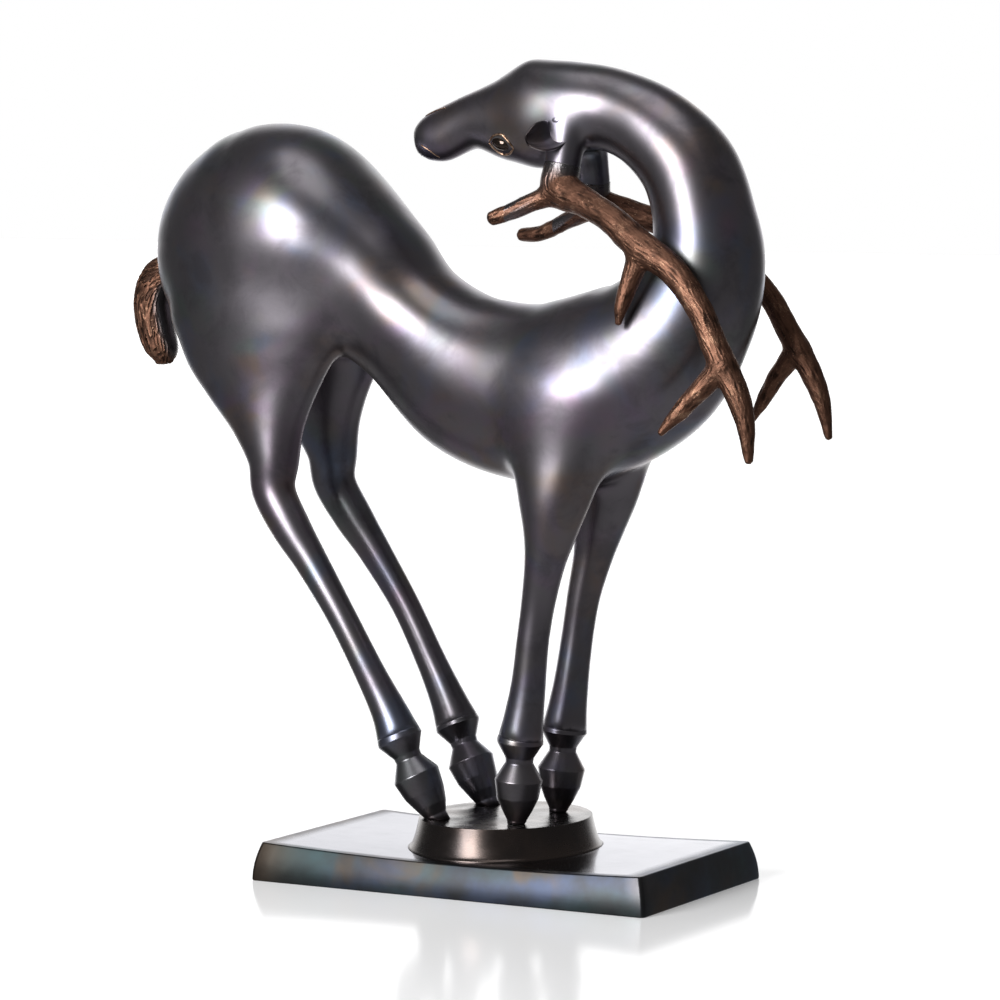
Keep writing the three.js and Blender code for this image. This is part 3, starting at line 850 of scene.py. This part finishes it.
def ball_surface(centre, axes):
    """Rings of an ellipsoid from the end of its last axis over its middle to the other end."""
    polar = np.linspace(np.pi, 0, 22)[1:-1, None, None]
    angle = np.linspace(0, 2 * np.pi, 41)[:-1][None, :, None]
    first, second, third = axes
    return centre + np.sin(polar) * (np.cos(angle) * first + np.sin(angle) * second) + np.cos(polar) * third


def on_body(points, rounds=4):
    """The points drawn onto the body's surface by Newton steps, and the unit normals there."""
    for _ in range(rounds):
        nearest = body.nearest(points)
        slope = body.slope(points, nearest)
        points = points - slope * (body.distance(points, nearest) / (slope ** 2).sum(1))[:, None]
    return points, unit(body.slope(points, body.nearest(points)))


def bead_surface(corners, radius):
    """Rings of a thin bead on the body's surface through the corners given, tapered at both ends as the
    fourth root of 1 - (2 t - 1)^4 and half sunk in."""
    t = np.linspace(0, 1, 41)
    path = between(np.array(corners), t * (len(corners) - 1)) * UNIT + [0, 0, sole_level]
    path, normal = on_body(path)
    along = unit(np.gradient(path, axis=0))
    across = unit(np.cross(normal, along))
    thick = radius * (1 - 0.98 * (2 * t - 1) ** 4) ** 0.25
    angle = np.linspace(0, 2 * np.pi, 13)[:-1][None, :, None]
    circle = np.cos(angle) * normal[:, None] + np.sin(angle) * across[:, None]
    return path[:, None] + thick[:, None, None] * circle


rubbed_bronze = new_finish("rubbed bronze", 1.0, rubbed_recipe)
eye_bronze = new_finish("eye bronze", 1.0, eye_recipe)
eye_place, eye_normal = on_body(np.array([EYE]) * UNIT + [0, 0, sole_level])
eye_out = eye_normal[0]
eye_along = unit(np.array(EYE_DIRECTION) - eye_out * (eye_out @ EYE_DIRECTION))
eye_up = np.cross(eye_out, eye_along)
eye_axes = np.array([EYE_LONG * eye_along, EYE_TALL * eye_up, (EYE_BULGE + EYE_SUNK) * eye_out])
eye_rings = ball_surface(eye_place[0] - EYE_SUNK * UNIT * eye_out, eye_axes * UNIT)
root_rings = ball_surface(np.array(EAR_ROOT) * UNIT + [0, 0, sole_level], np.diag(EAR_ROOT_SIZE) * UNIT)
beads = {
    "lid_above": bead_surface(LID_ABOVE, LID_RADIUS),
    "lid_below": bead_surface(LID_BELOW, LID_RADIUS),
    "mouth": bead_surface(MOUTH_LINE, LINE_RADIUS),
    "nostril": bead_surface(NOSTRIL_LINE, LINE_RADIUS),
}
for side_name, side in SIDES:
    add_rings(f"ear_{side_name}", ear_surface(side), deer_bronze)
    add_rings(f"ear_root_{side_name}", on_side(root_rings, side), deer_bronze)
    add_rings(f"eye_{side_name}", on_side(eye_rings, side), eye_bronze)
    for bead_name, bead_rings in beads.items():
        add_rings(f"{bead_name}_{side_name}", on_side(bead_rings, side), rubbed_bronze)

# Antlers
# Cast with the head and left as they came from the wax, with long bark-like ridges. They are patinated warm
# brown, and rubbed golden on the high spots, and the brown fades into the grey pedicles.
BROW_TINE = [
    [11.2, 5.0, 82.8, 1.6, 1.5],
    [7.6, 5.8, 81.5, 1.2, 1.2],
    [4.4, 6.6, 80.1, 1.1, 1.1],
    [2.0, 7.3, 79.2, 0.9, 0.9],
]
MIDDLE_TINE = [
    [24.6, 8.8, 75.6, 1.7, 1.6],
    [23.0, 9.3, 71.2, 1.2, 1.1],
    [22.2, 9.8, 68.4, 0.9, 0.9],
    [21.9, 10.1, 66.3, 0.4, 0.4],
]
FORK_TINE = [
    [37.4, 10.9, 61.4, 1.6, 1.5],
    [34.2, 11.5, 58.1, 1.3, 1.2],
    [31.4, 12.2, 55.0, 1.0, 0.9],
    [29.4, 12.8, 52.7, 0.4, 0.4],
]
LEFT_BROW_REACH = 1.38
LEFT_BROW_RISE = [0.0, 0.0, 0.2, 1.2]
ANTLER_START = 2.15
ANTLER_CELL = 0.8 * MM
ANTLER_COVER = 0.12 * MM
TINE_SOFTNESS = 4 * MM
LIMB_MARGIN = 3.4 * UNIT
BARK_DEPTH = 0.42 * MM
BARK_FADE = 12 * MM

BARK_GREY = (0.15, 0.14, 0.145)
BARK_DARK = (0.055, 0.030, 0.022)
BARK_BROWN = (0.172, 0.086, 0.057)
BARK_GOLD = (0.46, 0.275, 0.18)


def bark_coordinates(figure, points, nearest):
    """For each point, its place in the limb that it belongs to, with lengths along the limb shortened, so
    that noise on it gives long fibres, and its distance from the antler's start along the beam."""
    best = np.full(len(points), FAR)
    fibre = np.zeros((len(points), 3))
    root = np.full(len(points), 1.0)
    for number, ((limb, _), (held, station)) in enumerate(zip(figure.limbs, nearest)):
        local, _, _, _, place = limb.coordinates(points[held], station)
        value = limb.distance(points[held], station)
        closer = value < best[held]
        chosen = held[closer]
        best[chosen] = value[closer]
        run = np.interp(place, np.arange(len(limb.run)), limb.run)[closer]
        fibre[chosen] = np.column_stack([local[closer], 0.2 * run + 0.05 * number])
        if number == 0:
            root[chosen] = run
    return fibre, root


def bark_height(points, figure, nearest):
    """Relief of the bark in metres: ridges where uneven waves across the fibres cross zero, fading in from
    the grey pedicle."""
    fibre, root = bark_coordinates(figure, points, nearest)
    ridges = 1 - np.abs(waves(fibre, 10, 1.6 * MM, 4.5 * MM, 11))
    lumps = waves(points, 7, 9 * MM, 22 * MM, 5)
    fade = np.clip(root / BARK_FADE, 0, 1)
    return BARK_DEPTH * fade * (0.55 * np.clip(ridges, -1, 1) + 0.35 * lumps)


def antler_recipe(place):
    """Brown bark bronze: dark in the grooves, golden on the ridges and in small specks, with fine fibres, and
    grey at the root. The piece's own attributes give the fibres' coordinates, the height of the bark and
    the brownness."""
    fibre = place.node("Attribute", {"attribute_name": "fibre"}, {}, "Vector")
    bark = place.node("Attribute", {"attribute_name": "bark"}, {}, "Fac")
    brown = place.node("Attribute", {"attribute_name": "brown"}, {}, "Fac")
    strands = fibre.noise(1700, 4.0, 0.65)
    blotches = place.noise(90, 3.0, 0.6)
    specks = place.noise(1100, 2.0).within(0.60, 0.70) * blotches.within(0.40, 0.60)
    height = 0.65 * bark + 0.45 * strands - 0.05
    base = height.within(0.28, 0.6).blend(BARK_DARK, BARK_BROWN)
    worn = height.within(0.60, 0.88) * blotches.within(0.46, 0.70)
    patina = specks.math("MAXIMUM", specks, worn).blend(base, BARK_GOLD)
    colour = brown.blend(BARK_GREY, patina)
    roughness = 0.27 + brown * (0.14 + 0.16 * strands) - 0.08 * worn
    return colour, roughness, strands + 0.4 * blotches, 0.55, 0.25 * MM


antler_bronze = new_finish("antler bronze", 1.0, antler_recipe)


def store(piece, fibre, height, brown):
    """Stores on the piece's points what the material reads: fibre coordinates, height and brownness."""
    for label, kind, values in (("fibre", "FLOAT_VECTOR", fibre), ("bark", "FLOAT", height),
                                ("brown", "FLOAT", brown)):
        attribute = piece.data.attributes.new(label, kind, "POINT")
        attribute.data.foreach_set("vector" if kind == "FLOAT_VECTOR" else "value",
                                   values.astype(np.float32).ravel())


def add_antler(name, place):
    """Skins one antler and stores the bark's attributes on it."""
    brow = np.array(BROW_TINE, float)
    if place is turned_left:
        brow[:, 0] = brow[0, 0] - LEFT_BROW_REACH * (brow[0, 0] - brow[:, 0])
        brow[:, 2] += LEFT_BROW_RISE
    figure = Figure([
        (Limb(place(BEAM), (0.3, 0.4), start=ANTLER_START), TINE_SOFTNESS),
        (Limb(place(brow), (1.0, 0.7)), TINE_SOFTNESS),
        (Limb(place(MIDDLE_TINE), (1.0, 0.4)), TINE_SOFTNESS),
        (Limb(place(FORK_TINE), (1.0, 0.4)), TINE_SOFTNESS),
    ], bark_height)
    for limb, _ in figure.limbs:
        limb.sizes = limb.sizes + ANTLER_COVER
    centres = np.concatenate([limb.centre for limb, _ in figure.limbs])
    low, high = centres.min(0) - LIMB_MARGIN, centres.max(0) + LIMB_MARGIN
    points, quads, normals = skinned(figure, low, high, ANTLER_CELL, 2)
    piece = add_piece(name, points, [quads], antler_bronze, normals=normals)
    nearest = figure.nearest(points)
    fibre, root = bark_coordinates(figure, points, nearest)
    height = bark_height(points, figure, nearest) / BARK_DEPTH
    brown = np.clip((root - 2 * MM) / (BARK_FADE * 1.2), 0, 1)
    store(piece, fibre, 0.5 + 0.5 * height, brown)


add_antler("antler_right", on_right)
add_antler("antler_left", turned_left)

# Tail
# Cast with the rump and chased with hair: locks that run slantwise over the upper half and straight down to
# the tip. It is patinated like the antlers, and stays dark and smooth on the side towards the rump.
TAIL = [
    [-51.0, 0, 73.0, 1.2, 1.4],
    [-54.3, 0, 70.4, 2.4, 2.2],
    [-55.4, 0, 67.0, 2.6, 2.6],
    [-54.8, 0, 63.1, 2.6, 2.5],
    [-53.8, 0, 60.3, 2.2, 2.1],
    [-53.6, 0, 58.7, 1.2, 1.2],
]
TAIL_TWIST = 22
TAIL_CELL = 0.6 * MM
HAIR_DEPTH = 0.5 * MM


def hair_coordinates(points, figure, nearest):
    """The antlers' fibre coordinates with the two across the limb turned by an angle that grows towards the
    root, which makes the locks slant there, and how far each point lies from the rump's side."""
    fibre, run = bark_coordinates(figure, points, nearest)
    half = figure.limbs[0][0].run[-1] / 2
    turn = TAIL_TWIST * np.maximum(half - run, 0)
    x = fibre[:, 0] * np.cos(turn) - fibre[:, 1] * np.sin(turn)
    y = fibre[:, 0] * np.sin(turn) + fibre[:, 1] * np.cos(turn)
    return np.column_stack([x, y, fibre[:, 2]]), np.clip(fibre[:, 0] / (4 * MM) + 2.6, 0, 1)


def hair_height(points, figure, nearest):
    """Relief of the hair in metres, as on the antlers but without lumps, and none on the rump's side."""
    fibre, out = hair_coordinates(points, figure, nearest)
    ridges = 1 - 2 * np.abs(waves(fibre, 10, 2.2 * MM, 4.8 * MM, 3))
    return HAIR_DEPTH * out * np.clip(ridges, -1, 1)


tail = Figure([(Limb(TAIL, (0.5, 0.3)), TINE_SOFTNESS)], hair_height)
tail_centre = tail.limbs[0][0].centre
tail_low, tail_high = tail_centre.min(0) - LIMB_MARGIN, tail_centre.max(0) + LIMB_MARGIN
tail_points, tail_quads, tail_normals = skinned(tail, tail_low, tail_high, TAIL_CELL, 2)
tail_piece = add_piece("tail", tail_points, [tail_quads], antler_bronze, normals=tail_normals)
tail_nearest = tail.nearest(tail_points)
tail_fibre, tail_out = hair_coordinates(tail_points, tail, tail_nearest)
tail_height = hair_height(tail_points, tail, tail_nearest) / HAIR_DEPTH
store(tail_piece, tail_fibre, 0.5 + 0.5 * tail_height, tail_out)

# Studio: floor, lights and camera
# A white glossy floor and a white backdrop, a tall soft light at the left of the camera and a weak one
# overhead, as for a catalogue photograph.
CAMERA_AZIMUTH = math.radians(28.91)
CAMERA_ELEVATION = math.radians(5.0)
CAMERA_DISTANCE = 3.0439
CAMERA_TARGET = np.array([-0.0046, 0.0, 0.2591])
CAMERA_LENS = 162


def direction(azimuth, elevation):
    """Unit vector towards a place at that azimuth and elevation. Azimuth 0 is the deer's right side."""
    flat = math.cos(elevation)
    return np.array([math.sin(azimuth) * flat, -math.cos(azimuth) * flat, math.sin(elevation)])


def aim(item, position, target):
    """Puts a light or the camera at a position, facing a target, with its own Y axis upwards."""
    back = unit(np.array(position) - target)
    right = unit(np.cross([0.0, 0.0, 1.0], back))
    up = np.cross(back, right)
    matrix = np.eye(4)
    matrix[:3, 0], matrix[:3, 1], matrix[:3, 2], matrix[:3, 3] = right, up, back, position
    item.matrix_world = matrix.T.tolist()


def add_softbox(name, azimuth, elevation, distance, size, power):
    """Rectangular area light at an azimuth from the camera's own, facing the deer's middle."""
    lamp = bpy.data.lights.new(name, "AREA")
    lamp.shape = "RECTANGLE"
    lamp.size, lamp.size_y = size
    lamp.energy = power
    item = bpy.data.objects.new(name, lamp)
    bpy.context.scene.collection.objects.link(item)
    towards = direction(CAMERA_AZIMUTH + math.radians(azimuth), math.radians(elevation))
    aim(item, CAMERA_TARGET + towards * distance, CAMERA_TARGET)


def floor_recipe(place):
    """White glossy paint with a faint unevenness in its gloss."""
    cloud = place.noise(3, 2.0)
    colour = cloud.blend((0.93, 0.93, 0.94), (0.95, 0.95, 0.95))
    return colour, 0.12 + 0.03 * cloud, cloud, 0.0, 0.1 * MM


floor_glow = {"Specular IOR Level": 0.12, "Emission Color": (1, 1, 1, 1), "Emission Strength": 0.2}
floor_paint = new_finish("floor paint", 0.0, floor_recipe, floor_glow)
FLOOR_REACH = 12.0
floor_corners = [(x * FLOOR_REACH, y * FLOOR_REACH, 0) for x, y in ((-1, -1), (1, -1), (1, 1), (-1, 1))]
floor_mesh = bpy.data.meshes.new("floor")
floor_mesh.from_pydata(floor_corners, [], [(0, 1, 2, 3)])
floor_mesh.materials.append(floor_paint)
floor = bpy.data.objects.new("floor", floor_mesh)
bpy.context.scene.collection.objects.link(floor)
floor.visible_glossy = False

add_softbox("left softbox", -40, 18, 1.9, (0.8, 1.1), 38)
add_softbox("top softbox", -10, 78, 1.8, (1.1, 1.1), 6)

world = bpy.data.worlds.new("studio")
bpy.context.scene.world = world
world.use_nodes = True
world_tree = world.node_tree
world_tree.nodes.clear()
sky = Wire(world_tree)
sky_direction = sky.node("TexCoord", output="Generated")
away = tuple(-direction(CAMERA_AZIMUTH, 0.0))
facing = {"Vector": sky_direction, "Vector_001": away}
behind = sky.node("VectorMath", {"operation": "DOT_PRODUCT"}, facing, "Value")
upward = sky.node("SeparateXYZ", {}, {"Vector": sky_direction}, 2)
seen = sky.node("LightPath", output="Is Camera Ray")
backdrop = behind.within(0.70, 0.96)
glow = 0.12 + 1.7 * backdrop + 0.2 * (0 - upward).within(0.1, 0.8)
strength = seen + (1 - seen) * glow
background = sky.node("Background", {}, {"Color": (1, 1, 1, 1), "Strength": strength})
world_output = world_tree.nodes.new("ShaderNodeOutputWorld")
world_tree.links.new(background.socket, world_output.inputs["Surface"])

camera_data = bpy.data.cameras.new("camera")
camera_data.lens = CAMERA_LENS
camera_data.sensor_width = 36
camera_data.clip_end = 50
camera = bpy.data.objects.new("camera", camera_data)
bpy.context.scene.collection.objects.link(camera)
aim(camera, CAMERA_TARGET + direction(CAMERA_AZIMUTH, CAMERA_ELEVATION) * CAMERA_DISTANCE, CAMERA_TARGET)
bpy.context.scene.camera = camera
bpy.context.scene.view_settings.view_transform = "Standard"
